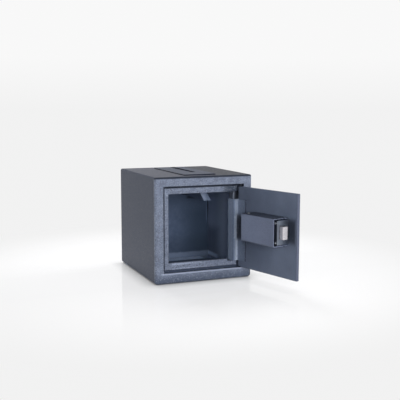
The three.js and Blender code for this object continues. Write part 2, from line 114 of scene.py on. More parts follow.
# World: a white studio, bright round the horizon and dim overhead, plain white to the camera
studioSky = {
    "horizon": "#ffffff",
    "overhead": "#6e6f71",
    "strength": 0.1,  # light on the safe
    "dimFrom": 0.12,  # sine of the height at which the studio starts to dim, and of where it is dimmest
    "dimTo": 0.75,
    "mirrored": 0.9,  # brightness of the studio in anything glossy
    "seenLow": 0.885,  # brightness of the backdrop at the horizon, and from the sine seenTo up
    "seenHigh": 0.94,
    "seenTo": 0.07,
}


def makeWorld(sky):
    world = bpy.data.worlds.new("whiteStudio")
    world.use_nodes = True
    tree = world.node_tree
    tree.nodes.clear()
    place = addNode(tree, "ShaderNodeTexCoord")
    parts = addNode(tree, "ShaderNodeSeparateXYZ", links={0: place.outputs["Generated"]})
    height = addNode(
        tree, "ShaderNodeMapRange",
        {"interpolation_type": "SMOOTHSTEP", "From Min": sky["dimFrom"], "From Max": sky["dimTo"]},
        {"Value": parts.outputs["Z"]},
    )
    tint = addNode(
        tree, "ShaderNodeMix",
        {"data_type": "RGBA", 6: linearFromHex(sky["horizon"]), 7: linearFromHex(sky["overhead"])},
        {0: height.outputs[0]},
    )
    light = addNode(
        tree, "ShaderNodeBackground", {"Strength": sky["strength"]}, {"Color": tint.outputs[2]},
    )
    seenStrength = addNode(
        tree, "ShaderNodeMapRange",
        {"From Min": 0.0, "From Max": sky["seenTo"], "To Min": sky["seenLow"], "To Max": sky["seenHigh"]},
        {"Value": parts.outputs["Z"]},
    )
    seen = addNode(
        tree, "ShaderNodeBackground", {"Color": linearFromHex(sky["horizon"])},
        {"Strength": seenStrength.outputs[0]},
    )
    mirrored = addNode(
        tree, "ShaderNodeBackground", {"Strength": sky["mirrored"]}, {"Color": tint.outputs[2]},
    )
    ray = addNode(tree, "ShaderNodeLightPath")
    glossy = addNode(
        tree, "ShaderNodeMixShader",
        links={0: ray.outputs["Is Glossy Ray"], 1: light.outputs[0], 2: mirrored.outputs[0]},
    )
    mixed = addNode(
        tree, "ShaderNodeMixShader",
        links={0: ray.outputs["Is Camera Ray"], 1: glossy.outputs[0], 2: seen.outputs[0]},
    )
    addNode(tree, "ShaderNodeOutputWorld", links={"Surface": mixed.outputs[0]})
    bpy.context.scene.world = world


makeWorld(studioSky)


# Lamps: wide low soft boxes in front that reach into the safe, one at its left just behind the front
# plane that lights the side and the open door, and two from behind that lift the roof and the back
softbox = {
    "frontWide": {"place": (-190, -1965, 560), "aim": (0, -100, 120), "size": (1500, 1000), "watts": 22.0},
    "frontLeft": {"place": (-595, -2489, 554), "aim": (0, -100, 120), "size": (600, 600), "watts": 14.0},
    "frontRight": {"place": (1433, -1303, 560), "aim": (0, -100, 120), "size": (1500, 1000), "watts": 11.0},
    "leftSide": {"place": (-2391, 541, 468), "aim": (0, -100, 120), "size": (800, 800), "watts": 13.5},
    "roofSoft": {"place": (0, 1668, 1888), "aim": (0, -100, 120), "size": (1000, 1000), "watts": 31.0},
    "backRight": {"place": (2185, 1019, 1094), "aim": (0, 0, 120), "size": (1200, 1200), "watts": 20.0},
}


def makeLamp(name, lamp):
    data = bpy.data.lights.new(name, "AREA")
    data.shape = "RECTANGLE"
    data.size = lamp["size"][0] * mm
    data.size_y = lamp["size"][1] * mm
    data.energy = lamp["watts"]
    lampObject = bpy.data.objects.new(name, data)
    place = Vector(lamp["place"]) * mm
    aim = Vector(lamp["aim"]) * mm - place
    lampObject.location = place
    lampObject.rotation_mode = "QUATERNION"
    lampObject.rotation_quaternion = aim.to_track_quat("-Z", "Y")
    lampObject.visible_glossy = False  # gloss shows the studio, so no lamp is mirrored in the sheet
    bpy.context.scene.collection.objects.link(lampObject)


for lampName, lampValues in softbox.items():
    makeLamp(lampName, lampValues)


# Floor: a white acrylic sheet, plain white to the camera except for the shadow and a faint mirror
# image that dies away in front of the safe; the light that it throws back up is that of a grey one
floorSheet = {
    "half": 12000,
    "below": 0.2,  # it lies this far under the safe's foot
    "seen": "#b4b4b6",
    "bounce": "#a0a0a0",
    "glowNear": 0.71,  # glow under the safe, and from glowTo outward, where it hides the shadow
    "glowFar": 0.885,
    "glowFrom": 260,  # distances from the middle between which one turns into the other
    "glowTo": 760,
    "contact": 40,  # how far the safe dims the sheet's glow around its foot
    "contactSamples": 8,
    "mirror": 0.2,
    "mirrorRoughness": 0.05,
    "mirrorFrom": -140,  # depths between which the mirror image dies away in front
    "mirrorTo": -560,
    "mirrorBackFrom": 60,  # and toward the back
    "mirrorBackTo": 240,
}


def makeFloor(sheet):
    half = sheet["half"] * mm
    mesh = bpy.data.meshes.new("whiteSweep")
    corners = [(-half, -half, 0), (half, -half, 0), (half, half, 0), (-half, half, 0)]
    mesh.from_pydata(corners, [], [(0, 1, 2, 3)])
    floor = bpy.data.objects.new("whiteSweep", mesh)
    floor.location = (0, 0, -sheet["below"] * mm)
    bpy.context.scene.collection.objects.link(floor)
    material, tree = newMaterial("white acrylic sheet")
    ray = addNode(tree, "ShaderNodeLightPath")
    looked = addNode(
        tree, "ShaderNodeMath", {"operation": "MAXIMUM"},
        {0: ray.outputs["Is Camera Ray"], 1: ray.outputs["Is Glossy Ray"]},
    ).outputs[0]
    tone = addNode(
        tree, "ShaderNodeMix",
        {"data_type": "RGBA", 6: linearFromHex(sheet["bounce"]), 7: linearFromHex(sheet["seen"])},
        {0: looked},
    ).outputs[2]
    plain = addNode(tree, "ShaderNodeBsdfDiffuse", links={"Color": tone})
    place = addNode(tree, "ShaderNodeTexCoord").outputs["Object"]
    away = addNode(tree, "ShaderNodeVectorMath", {"operation": "LENGTH"}, {0: place}).outputs["Value"]
    far = addNode(
        tree, "ShaderNodeMapRange",
        {"interpolation_type": "SMOOTHSTEP",
         "From Min": sheet["glowFrom"] * mm, "From Max": sheet["glowTo"] * mm},
        {"Value": away},
    ).outputs[0]
    hidden = addNode(
        tree, "ShaderNodeAmbientOcclusion",
        {"samples": sheet["contactSamples"], "Distance": sheet["contact"] * mm},
    )
    shownGlow = addNode(
        tree, "ShaderNodeMath", {"operation": "MULTIPLY"}, {0: looked, 1: hidden.outputs["AO"]},
    ).outputs[0]
    nearGlow = addNode(
        tree, "ShaderNodeMath", {"operation": "MULTIPLY", 1: sheet["glowNear"]}, {0: shownGlow},
    ).outputs[0]
    near = addNode(tree, "ShaderNodeEmission", links={"Strength": nearGlow})
    lit = addNode(tree, "ShaderNodeAddShader", links={0: plain.outputs[0], 1: near.outputs[0]})
    distant = addNode(tree, "ShaderNodeEmission", {"Strength": sheet["glowFar"]})
    farSeen = addNode(tree, "ShaderNodeMath", {"operation": "MULTIPLY"}, {0: far, 1: looked}).outputs[0]
    swept = addNode(
        tree, "ShaderNodeMixShader", links={0: farSeen, 1: lit.outputs[0], 2: distant.outputs[0]},
    )
    parts = addNode(tree, "ShaderNodeSeparateXYZ", links={0: place})
    fade = addNode(
        tree, "ShaderNodeMapRange",
        {"From Min": sheet["mirrorFrom"] * mm, "From Max": sheet["mirrorTo"] * mm,
         "To Min": sheet["mirror"], "To Max": 0.0},
        {"Value": parts.outputs["Y"]},
    ).outputs[0]
    fadeBack = addNode(
        tree, "ShaderNodeMapRange",
        {"From Min": sheet["mirrorBackFrom"] * mm, "From Max": sheet["mirrorBackTo"] * mm,
         "To Min": 1.0, "To Max": 0.0},
        {"Value": parts.outputs["Y"]},
    ).outputs[0]
    fadeBoth = addNode(
        tree, "ShaderNodeMath", {"operation": "MULTIPLY"}, {0: fade, 1: fadeBack},
    ).outputs[0]
    nearMirror = addNode(
        tree, "ShaderNodeMath", {"operation": "MULTIPLY"}, {0: fadeBoth, 1: ray.outputs["Is Camera Ray"]},
    ).outputs[0]
    here = addNode(tree, "ShaderNodeMath", {"operation": "SUBTRACT", 0: 1.0}, {1: far}).outputs[0]
    seenMirror = addNode(
        tree, "ShaderNodeMath", {"operation": "MULTIPLY"}, {0: nearMirror, 1: here},
    ).outputs[0]
    mirror = addNode(tree, "ShaderNodeBsdfGlossy", {"Roughness": sheet["mirrorRoughness"]})
    mixed = addNode(
        tree, "ShaderNodeMixShader", links={0: seenMirror, 1: swept.outputs[0], 2: mirror.outputs[0]},
    )
    addNode(tree, "ShaderNodeOutputMaterial", links={"Surface": mixed.outputs[0]})
    mesh.materials.append(material)


makeFloor(floorSheet)
print("studio built")


# Fine-textured polyester powder coat on steel, sprayed and baked: small grains whose glints are painted into
# the colour as light specks, painted shade in the grain's low spots, a soft semi-gloss, and slow changes of
# shade where the film is thicker
powderCoat = {
    "name": "slate powder coat",
    "colour": "#64718c",
    "deep": "#57637d",
    "speck": "#a4abbd",
    "pit": "#3c4250",
    "grain": 2.0,  # the real grain is near 0.8 mm, drawn coarser so that it shows from two metres
    "film": 70.0,
    "speckSpacing": 4.5,
    "speckShare": 0.13,  # radius of a speck, as a share of the spacing
    "speckFade": (0.6, 1.6),  # radii between which a speck fades out
    "speckMost": 0.7,
    "pitFade": (0.34, 0.5),  # values of the grain between which a pit fades out
    "pitDepth": 0.4,
    "roughness": 0.48,
    "roughnessSwing": 0.12,
    "bump": 0.09,
    "bumpStrength": 0.6,
    "sheen": 0.35,
    "ior": 1.5,
}
noiseSpan = (0.3, 0.7)  # nearly all values of a noise texture lie between these
crisp = (0.1, 0.1, 0.1)  # how far a hard border fades along each axis, in millimetres
wanderUsual = 40  # size of the bends in a border that strays
beyond = 999  # reaches past every piece, for a box that is open on that side


# Shades that change over a piece. They were fitted to the photograph, by comparing the mean colour of
# regions of the render with it. Most are painted light and shade, for light and shadow that these
# lamps don't give, so they stay on the pieces in any other light; a few are tones whose cause isn't known.
# A shade changes along one axis from one place to another, with a border that strays by "wander", or
# fills a box whose faces fade over "soft" along each axis.
# Outside a box the distance from each face is divided by its "soft", so the fade runs from 0 to 1:
#   far = max((|place - middle| - half size) / soft)
def paintedLightAndTone(tree, place, base, drift):
    most = drift.get("most", 1.0)
    if "box" in drift:
        low, high = (np.array(corner, float) for corner in drift["box"])
        apart = addNode(
            tree, "ShaderNodeVectorMath", {"operation": "SUBTRACT", 1: (low + high) / 2 * mm}, {0: place},
        ).outputs[0]
        apart = addNode(tree, "ShaderNodeVectorMath", {"operation": "ABSOLUTE"}, {0: apart}).outputs[0]
        apart = addNode(
            tree, "ShaderNodeVectorMath", {"operation": "SUBTRACT", 1: (high - low) / 2 * mm}, {0: apart},
        ).outputs[0]
        apart = addNode(
            tree, "ShaderNodeVectorMath", {"operation": "DIVIDE", 1: drift.get("soft", crisp)},
            {0: apart},
        ).outputs[0]
        sides = addNode(tree, "ShaderNodeSeparateXYZ", links={0: apart}).outputs
        far = addNode(
            tree, "ShaderNodeMath", {"operation": "MAXIMUM"}, {0: sides["X"], 1: sides["Y"]},
        ).outputs[0]
        far = addNode(
            tree, "ShaderNodeMath", {"operation": "MAXIMUM"}, {0: far, 1: sides["Z"]},
        ).outputs[0]
        start, end, first, last = 0, 1, most, 0.0
    else:
        along = addNode(tree, "ShaderNodeSeparateXYZ", links={0: place}).outputs[drift["axis"]]
        wander = drift.get("wander", 0)
        stray = addNode(
            tree, "ShaderNodeTexNoise",
            {"Scale": scaleOf(drift.get("wanderSize", wanderUsual)), "Detail": 2.0}, {"Vector": place},
        ).outputs["Fac"]
        far = addNode(
            tree, "ShaderNodeMath", {"operation": "MULTIPLY_ADD", 1: 2 * wander * mm},
            {0: stray, 2: along},
        ).outputs[0]
        start, end = drift["from"] + wander, drift["to"] + wander  # the noise averages a half
        first, last = 0.0, most
    amount = addNode(
        tree, "ShaderNodeMapRange",
        {"interpolation_type": "SMOOTHSTEP", "From Min": start * mm, "From Max": end * mm,
         "To Min": first, "To Max": last},
        {"Value": far},
    ).outputs[0]
    return addNode(
        tree, "ShaderNodeMix", {"data_type": "RGBA", 7: linearFromHex(drift["colour"])},
        {0: amount, 6: base},
    ).outputs[2]


def makePowderCoat(coat):
    material, tree = newMaterial(coat["name"])
    place = addNode(tree, "ShaderNodeTexCoord").outputs["Object"]
    grain = addNode(
        tree, "ShaderNodeTexNoise",
        {"Scale": scaleOf(coat["grain"]), "Detail": 3.0, "Roughness": 0.6}, {"Vector": place},
    ).outputs["Fac"]
    film = addNode(
        tree, "ShaderNodeTexNoise",
        {"Scale": scaleOf(coat["film"]), "Detail": 2.0, "Roughness": 0.5}, {"Vector": place},
    ).outputs["Fac"]
    cells = addNode(
        tree, "ShaderNodeTexVoronoi",
        {"feature": "F1", "Scale": scaleOf(coat["speckSpacing"]), "Randomness": 1.0}, {"Vector": place},
    )
    shade = addNode(
        tree, "ShaderNodeMapRange", {"From Min": noiseSpan[0], "From Max": noiseSpan[1]},
        {"Value": film},
    ).outputs[0]
    tone = addNode(
        tree, "ShaderNodeMix",
        {"data_type": "RGBA", 6: linearFromHex(coat["deep"]), 7: linearFromHex(coat["colour"])},
        {0: shade},
    ).outputs[2]
    # painted light and shade, and tones, for each piece
    for drift in coat.get("drifts", ()):
        tone = paintedLightAndTone(tree, place, tone, drift)
    # painted shade: pits darken the low spots of the grain
    pits = addNode(
        tree, "ShaderNodeMapRange",
        {"From Min": coat["pitFade"][0], "From Max": coat["pitFade"][1],
         "To Min": coat["pitDepth"], "To Max": 0.0},
        {"Value": grain},
    ).outputs[0]
    tone = addNode(
        tree, "ShaderNodeMix", {"data_type": "RGBA", 7: linearFromHex(coat["pit"])},
        {0: pits, 6: tone},
    ).outputs[2]
    # painted glints: light specks where grains catch the light
    specks = addNode(
        tree, "ShaderNodeMapRange",
        {"From Min": coat["speckShare"] * coat["speckFade"][0],
         "From Max": coat["speckShare"] * coat["speckFade"][1],
         "To Min": coat["speckMost"], "To Max": 0.0},
        {"Value": cells.outputs["Distance"]},
    ).outputs[0]
    tone = addNode(
        tree, "ShaderNodeMix", {"data_type": "RGBA", 7: linearFromHex(coat["speck"])},
        {0: specks, 6: tone},
    ).outputs[2]
    # painted shade and painted highlights, drawn over the specks
    for drift in coat.get("overSpecks", ()):
        tone = paintedLightAndTone(tree, place, tone, drift)
    rough = addNode(
        tree, "ShaderNodeMapRange",
        {"From Min": noiseSpan[0], "From Max": noiseSpan[1],
         "To Min": coat["roughness"] - coat["roughnessSwing"],
         "To Max": coat["roughness"] + coat["roughnessSwing"]},
        {"Value": grain},
    ).outputs[0]
    relief = addNode(
        tree, "ShaderNodeBump", {"Strength": coat["bumpStrength"], "Distance": coat["bump"] * mm},
        {"Height": grain},
    ).outputs[0]
    paint = addNode(
        tree, "ShaderNodeBsdfPrincipled", {"IOR": coat["ior"], "Specular IOR Level": coat["sheen"]},
        {"Base Color": tone, "Roughness": rough, "Normal": relief},
    )
    addNode(tree, "ShaderNodeOutputMaterial", links={"Surface": paint.outputs[0]})
    return material


# The front and the stops show a coarser grain in the photograph, and the back panel is given it too. The
# front and the stops are drawn lighter than the rest of the coat, as painted light
grainedCoat = dict(
    powderCoat, name="slate powder coat, open grain", colour="#808a9f", deep="#697184", speck="#a9b1c1",
    film=13.0, pitDepth=0.85, speckShare=0.22, speckSpacing=3.2, bump=0.2,
)

frontCoat = dict(
    grainedCoat, name="slate powder coat, front frame",
    # painted shade, darker toward the foot
    drifts=(  # darker toward the foot
        {"axis": "Z", "from": 26, "to": 8, "wander": 3, "colour": "#4c566a", "most": 0.92},
    ),
    # painted shade on the upper edge and on the opening's walls, less on its lower wall, and a painted
    # highlight on the bright edge of that
    overSpecks=(  # the dark upper edge, the opening's dark walls, its lower wall, and the bright edge of that
        {"axis": "Z", "from": 249.8, "to": 251.6, "colour": "#272c38", "most": 0.9},
        {"box": ((-104.6, -139.1, 25.2), (104.6, 0, 233.8)), "colour": "#252a35", "most": 0.85},
        {"box": ((-104.6, -139.1, 25.2), (104.6, 0, 27)), "colour": "#3d4555"},
        {"box": ((-104, -beyond, 23.4), (96, -135, 27)), "soft": (8, 1.5, 0.8),
         "colour": "#a3adc4", "most": 0.9},
    ),
)

stopCoat = dict(
    grainedCoat, name="slate powder coat, stops",
    # painted highlights along both edges of the lower stop, fading out toward the hinge, and painted shade on
    # the upper stop there
    drifts=(  # the lower stop is light along both edges, less toward the hinge, where the upper is dark
        {"box": ((-79, -beyond, 43.9), (beyond, beyond, 49)), "soft": (2, 1, 0.8), "colour": "#98a3ba"},
        {"box": ((-79, -beyond, 30), (beyond, beyond, 35.8)), "soft": (2, 1, 0.8), "colour": "#8f99b0"},
        {"box": ((20, -beyond, -beyond), (beyond, beyond, 60)),
         "soft": (50, 1, 1), "colour": "#757e93"},
        {"box": ((68, -beyond, 190), (beyond, beyond, beyond)),
         "soft": (26, 1, 1), "colour": "#3c4452"},
    ),
)

# painted shade: the web is drawn dark for the shade in the gaps round the stops, less dark below them
webCoat = dict(  # dark, as the gaps round the stops are in the photograph, and less so below them
    powderCoat, name="slate powder coat, frame web", colour="#343a48", deep="#2c323f",
    drifts=({"axis": "Z", "from": 36, "to": 33, "colour": "#424b5e"},),
)

# painted shade on the plate's rolled edges
slotCoat = dict(  # dark edges, for the dark lines round the plate in the photograph
    powderCoat, name="slate powder coat, slot plate", colour="#51596d", deep="#4a5165",
    speckShare=0.07, sheen=0.27,
    overSpecks=({"axis": "Z", "from": 257.25, "to": 256.7, "colour": "#161922", "most": 0.92},),
)

# The back panel is bluish, with painted light above and painted shade to the right and below.
# Painted light in the light band along its foot, painted shade in the dark line high in the right corner,
# and the chute's painted shadow beside it; the light line in that corner is drawn as a shade only
cavityCoat = dict(
    grainedCoat, name="slate powder coat, back panel", colour="#5b6983", deep="#4f5d76",
    speckShare=0.07, pitDepth=0.35,
    drifts=(
        {"axis": "X", "from": 5, "to": 92, "wander": 8, "wanderSize": 60, "colour": "#3b495d"},
        {"axis": "Z", "from": 118, "to": 160, "colour": "#52617a", "most": 0.6},
        {"axis": "Z", "from": 80, "to": 40, "wander": 6, "colour": "#28323f", "most": 0.35},
        {"axis": "Z", "from": 21, "to": 15, "wander": 7, "wanderSize": 34,
         "colour": "#8493ad", "most": 0.45},
        {"box": ((-beyond, -beyond, -beyond), (10, beyond, 15)), "soft": (110, 1, 6),
         "colour": "#8493ad", "most": 0.6},
        {"box": ((115.6, -beyond, 116), (118.2, beyond, beyond)),
         "soft": (0.7, 1, 26), "colour": "#5a6a84"},
        {"box": ((118.7, -beyond, 150), (beyond, beyond, beyond)),
         "soft": (0.7, 1, 60), "colour": "#161b26"},
        {"box": ((66, -beyond, 170), (84, beyond, 186)), "soft": (14, 1, 4),
         "colour": "#171c26", "most": 0.8},
        {"box": ((-beyond, 124.8, -beyond), (beyond, beyond, beyond)),
         "colour": "#4f566a"},  # its outer face
    ),
)

# The folded body is greyer outside, and drawn darker there as painted shade. Inside it is painted lighter,
# most of all toward the front, to make up for light that these lamps don't bring into the safe
shellCoat = dict(
    powderCoat, name="slate powder coat, folded body", colour="#4b5265", deep="#454b5d",
    speckShare=0.07, sheen=0.22,
    drifts=(
        # outside: painted shade on the left side, and on the roof a painted sheen on the left and painted
        # shade on the right
        {"box": ((-beyond, -beyond, -beyond), (-124.6, beyond, beyond)), "colour": "#434a5b"},
        {"box": ((-beyond, -beyond, 254.6), (-50, beyond, beyond)),
         "soft": (90, 1, 0.1), "colour": "#636674"},
        {"box": ((80, -beyond, 254.6), (beyond, beyond, beyond)),
         "soft": (80, 1, 0.1), "colour": "#373a44"},
        # inside: all of it, then toward the front
        {"box": ((-123.5, -beyond, 1.5), (123.5, 125, 253.5)), "colour": "#8393b0"},
        {"box": ((-123.5, -beyond, 1.5), (123.5, 0, 253.5)),
         "soft": (0.1, 75, 0.1), "colour": "#b4c3de"},
        # the floor: painted shade in front and painted light along the back
        {"box": ((-123, -beyond, 1.5), (123, 86, 3.6)), "soft": (1, 9, 0.3), "colour": "#535d70"},
        {"box": ((-123, 98, 1.5), (90, 130, 3.6)), "soft": (14, 9, 0.3), "colour": "#c3d4ee"},
        # the right wall: painted shade low down at the back, and painted light at its foot in the corner
        {"box": ((121, 90, -10), (123.4, 124, 72)), "soft": (0.4, 64, 34), "colour": "#626e86"},
        {"box": ((119, 70, 11), (123.4, 124, 15)), "soft": (0.4, 26, 7), "colour": "#b2c4e0"},
        # the rim behind the back panel, as outside
        {"box": ((-123.5, 125, 1.5), (123.5, beyond, 253.5)), "colour": "#4b5265"},
    ),
)

# painted light: the hinge bar is drawn lighter than the door, with painted light and shade on each of its
# faces
barCoat = dict(
    powderCoat, name="slate powder coat, hinge bar", colour="#8b96a9", deep="#818b9f",
    drifts=(
        # the flange on the door and its root, without the bar's painted light
        {"box": ((0, -300, 0), (200, -141, 300)), "colour": "#6d798f"},
        {"box": ((89.4, -300, 0), (200, -137.2, 300)), "colour": "#6d798f"},
        # painted light on the hook's face, less than on the middle face, and painted shade on the fold beside
        # it
        {"box": ((0, -300, 0), (79.5, 0, 300)), "soft": (1.5, 1, 1), "colour": "#7f8da6"},
        {"box": ((76.3, -300, 0), (79.1, 0, 300)), "soft": (0.8, 1, 1), "colour": "#616e86"},
        # a painted highlight on the bright strip of the middle face, beside the lock and below it
        {"box": ((79.6, -140, 104), (85.5, 0, 150)), "soft": (0.8, 0.5, 8), "colour": "#a6b2c6"},
        {"box": ((83.6, -140, 0), (88, 0, 96)), "soft": (1, 0.5, 6), "colour": "#a8b3c6"},
        # the lock's shadow beside it, painted on, and painted shade on the dark end of the flange
        {"box": ((88, -300, 104), (200, 0, 150)), "soft": (2.2, 1, 14),
         "colour": "#1a1f29", "most": 0.88},
        {"box": ((0, -300, 0), (200, -161.8, 300)), "colour": "#39404f"},
    ),
)

# painted light on the guard's lip, and painted shade on the strip that lies behind
guardCoat = dict(  # light, but for the strip that lies behind
    powderCoat, name="slate powder coat, hinge guard", colour="#a3adbf", deep="#929db0",
    drifts=({"box": ((-beyond, -76, -beyond), (beyond, beyond, beyond)), "colour": "#6b7280"},),
)

# painted light on the chute's front plate, and painted shade toward its right side
chuteCoat = dict(  # the chute's front plate, paler on its left side
    powderCoat, name="slate powder coat, chute", colour="#97a5bf", deep="#8b99b4",
    drifts=({"axis": "X", "from": 33, "to": 44, "colour": "#6a7891"},),
)

doorCoat = dict(
    powderCoat, name="slate powder coat, door", colour="#697387", deep="#5c667a",
    speckShare=0.06, pitDepth=0.25,
    # painted shade on the plate's darker edge, besides the lock's painted shadow
    drifts=(  # the lock's shadow beside the bolt, painted on, and the plate's darker edge
        {"box": ((100, -318, 120), (142, -303, 158)), "soft": (2, 14, 16),
         "colour": "#222732", "most": 0.85},
        {"box": ((0, -400, 0), (200, -325.9, 300)), "colour": "#596074"},
    ),
)

foldedCoat = dict(  # the hood looks a little lighter than the door
    powderCoat, name="slate powder coat, folded parts", colour="#7d879e", deep="#6f788f",
    speckShare=0.08, sheen=0.27,
    # painted shade on the upper flange
    drifts=(  # darker toward the bolt, and dark on its upper flange
        {"axis": "X", "from": 76, "to": 92, "wander": 4, "colour": "#6b7389"},
        {"box": ((0, -400, 169.9), (200, 0, 180)), "colour": "#2b313d", "most": 0.9},
    ),
)


# Bright zinc plate on pressed and turned steel: satin, faintly blue, with soft rolling lines
zincPlate = {
    "name": "zinc plated steel",
    "colour": "#b9bcc2",
    "cloud": "#8d929c",
    "cloudSize": 9.0,
    "lineSize": 1.2,
    "lineStretch": (0.08, 0.08, 1.0),  # draws the lines out across the height
    "metallic": 1.0,
    "roughness": 0.38,
    "roughnessSwing": 0.1,
    "bump": 0.02,
    "bumpStrength": 0.5,
}

# Bright nickel plate on milled steel: fine cutter lines across the bolt. Its metallic value is lowered
# to match the bolt's pale face in the photograph
nickelPlate = dict(
    zincPlate, name="nickel plated steel", colour="#dbd8dc", cloud="#bfbcc2", cloudSize=14.0,
    lineSize=0.9, metallic=0.65, roughness=0.32, roughnessSwing=0.07, bump=0.012,
)

# The lock case and its lid are taken as zinc plate with a blue passivated film, duller and greyer
passivatedCase = dict(
    zincPlate, name="blue passivated zinc on the lock case", colour="#a2abba", cloud="#8790a0",
    roughness=0.45,
)
# painted light: the lid is a lighter copy of the case's zinc, for its bright edge
passivatedLidPaintedLight = dict(
    passivatedCase, name="blue passivated zinc on the lock case lid, painted lighter", colour="#a9b1bd", cloud="#98a0ad",
)

# The hinge pins and the washer are inferred pieces, drawn dark as painted shade, to suit the dark gaps at the
# hinge
pinZincPaintedShade = dict(
    zincPlate, name="zinc on the hinge pins, in painted shade", colour="#484c55", cloud="#33363e", roughness=0.42,
)


def makeMetal(plate):
    material, tree = newMaterial(plate["name"])
    place = addNode(tree, "ShaderNodeTexCoord").outputs["Object"]
    cloud = addNode(
        tree, "ShaderNodeTexNoise", {"Scale": scaleOf(plate["cloudSize"]), "Detail": 3.0},
        {"Vector": place},
    ).outputs["Fac"]
    stretched = addNode(
        tree, "ShaderNodeMapping", {"Scale": plate["lineStretch"]}, {"Vector": place},
    ).outputs[0]
    lines = addNode(
        tree, "ShaderNodeTexNoise", {"Scale": scaleOf(plate["lineSize"]), "Detail": 2.0},
        {"Vector": stretched},
    ).outputs["Fac"]
    colour = addNode(
        tree, "ShaderNodeMix",
        {"data_type": "RGBA", 6: linearFromHex(plate["cloud"]), 7: linearFromHex(plate["colour"])},
        {0: cloud},
    ).outputs[2]
    rough = addNode(
        tree, "ShaderNodeMapRange",
        {"From Min": noiseSpan[0], "From Max": noiseSpan[1],
         "To Min": plate["roughness"] - plate["roughnessSwing"],
         "To Max": plate["roughness"] + plate["roughnessSwing"]},
        {"Value": lines},
    ).outputs[0]
    relief = addNode(
        tree, "ShaderNodeBump", {"Strength": plate["bumpStrength"], "Distance": plate["bump"] * mm},
        {"Height": lines},
    ).outputs[0]
    metal = addNode(
        tree, "ShaderNodeBsdfPrincipled", {"Metallic": plate["metallic"]},
        {"Base Color": colour, "Roughness": rough, "Normal": relief},
    )
    addNode(tree, "ShaderNodeOutputMaterial", links={"Surface": metal.outputs[0]})
    return material


finishes = {
    "slate_powder_coat": makePowderCoat(powderCoat),
    "zinc_plated_steel": makeMetal(zincPlate),
    "nickel_plated_steel": makeMetal(nickelPlate),
}
pinSteelPaintedShade = makeMetal(pinZincPaintedShade)
# most of these differ from their slot by painted light and shade
ownFinishAndPaintedShade = {  # nodes whose finish differs from the rest of their slot
    "front_frame": makePowderCoat(frontCoat),
    "stop_frame": makePowderCoat(stopCoat),
    "frame_web": makePowderCoat(webCoat),
    "slot_plate": makePowderCoat(slotCoat),
    "back_panel": makePowderCoat(cavityCoat),
    "body_shell": makePowderCoat(shellCoat),
    "hinge_bar": makePowderCoat(barCoat),
    "hinge_guard": makePowderCoat(guardCoat),
    "chute_front_plate": makePowderCoat(chuteCoat),
    "door_plate": makePowderCoat(doorCoat),
    "lock_hood": makePowderCoat(foldedCoat),
    "lock_case": makeMetal(passivatedCase),
    "lock_case_lid": makeMetal(passivatedLidPaintedLight),
    "hinge_pin_upper": pinSteelPaintedShade,
    "hinge_pin_lower": pinSteelPaintedShade,
    "hinge_washer": pinSteelPaintedShade,
}
print("finishes mixed")

slotOf = {part["node"]: part["material_slot"] for part in frame["record"]["subparts"]}
bodies = frame["record"]["behaviour"]["bodies"]
bodyOf = {name: body for body, members in bodies.items() for name in members}
finishOf = {name: ownFinishAndPaintedShade.get(name, finishes[slot]) for name, slot in slotOf.items()}
for name, node in frame["nodes"].items():
    for materialSlot in node.material_slots:
        materialSlot.material = finishOf[name]
print("CAD pieces dressed")


# Places: a node's own corners in millimetres, and the door turned shut about its pins
def nodePoints(name):
    vertices = frame["nodes"][name].data.vertices
    flat = np.empty(len(vertices) * 3)
    vertices.foreach_get("co", flat)
    return flat.reshape(-1, 3) / mm


joints = {joint["name"]: joint for joint in frame["record"]["behaviour"]["joints"]}
doorSwing = joints["door_swing"]
hingePlace = np.array(doorSwing["pos_m"]) / mm
openAngle = -math.radians(doorSwing["range_deg"][0])  # from shut to the open door at rest


def swung(points, angle):  # points turned about the hinge pins
    cosine, sine = math.cos(angle), math.sin(angle)
    turn = np.array([[cosine, sine, 0], [-sine, cosine, 0], [0, 0, 1]])
    return (points - hingePlace) @ turn + hingePlace


def shutBox(name):  # lowest and highest corner of a door node with the door shut
    points = swung(nodePoints(name), -openAngle)
    return points.min(0), points.max(0)


meshCare = {
    "sharp": 32,  # degrees between two faces from which their edge stays sharp
    "joined": 0.001,  # points of a grid that lie closer are one, at a pole
    "joinedNode": 0.002,  # the same in the copy of a node
    "flat": 1,  # degrees up to which neighbouring faces of a copy are taken as one
    "eased": 35,  # degrees from which an edge of a copy is rounded
    "easeSteps": 2,
}


# Faces of a grid of points, row by row, wrapped where it closes on itself
def gridFaces(rows, columns, closeRows, closeColumns):
    index = np.arange(rows * columns).reshape(rows, columns)
    if closeRows:
        index = np.vstack([index, index[:1]])
    if closeColumns:
        index = np.hstack([index, index[:, :1]])
    faces = np.stack([index[:-1, :-1], index[1:, :-1], index[1:, 1:], index[:-1, 1:]], -1)
    return faces.reshape(-1, 4).tolist()


def addPiece(name, mesh, node, stands=True):  # the finished mesh rides where its node does
    mesh.polygons.foreach_set("use_smooth", [True] * len(mesh.polygons))
    mesh.set_sharp_from_angle(angle=math.radians(meshCare["sharp"]))
    mesh.materials.clear()
    mesh.materials.append(finishOf[node])
    piece = bpy.data.objects.new(name, mesh)
    bpy.context.scene.collection.objects.link(piece)
    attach(piece, bodyOf[node])
    if stands:
        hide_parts(node)
    return piece


def gridPiece(name, grid, node, closeRows=True, closeColumns=True, stands=True):
    rows, columns = grid.shape[:2]
    mesh = bpy.data.meshes.new(name)
    faces = gridFaces(rows, columns, closeRows, closeColumns)
    mesh.from_pydata((grid.reshape(-1, 3) * mm).tolist(), [], faces)
    shell = bmesh.new()
    shell.from_mesh(mesh)
    bmesh.ops.remove_doubles(shell, verts=shell.verts, dist=meshCare["joined"] * mm)
    bmesh.ops.recalc_face_normals(shell, faces=shell.faces)
    shell.to_mesh(mesh)
    shell.free()
    return addPiece(name, mesh, node, stands)


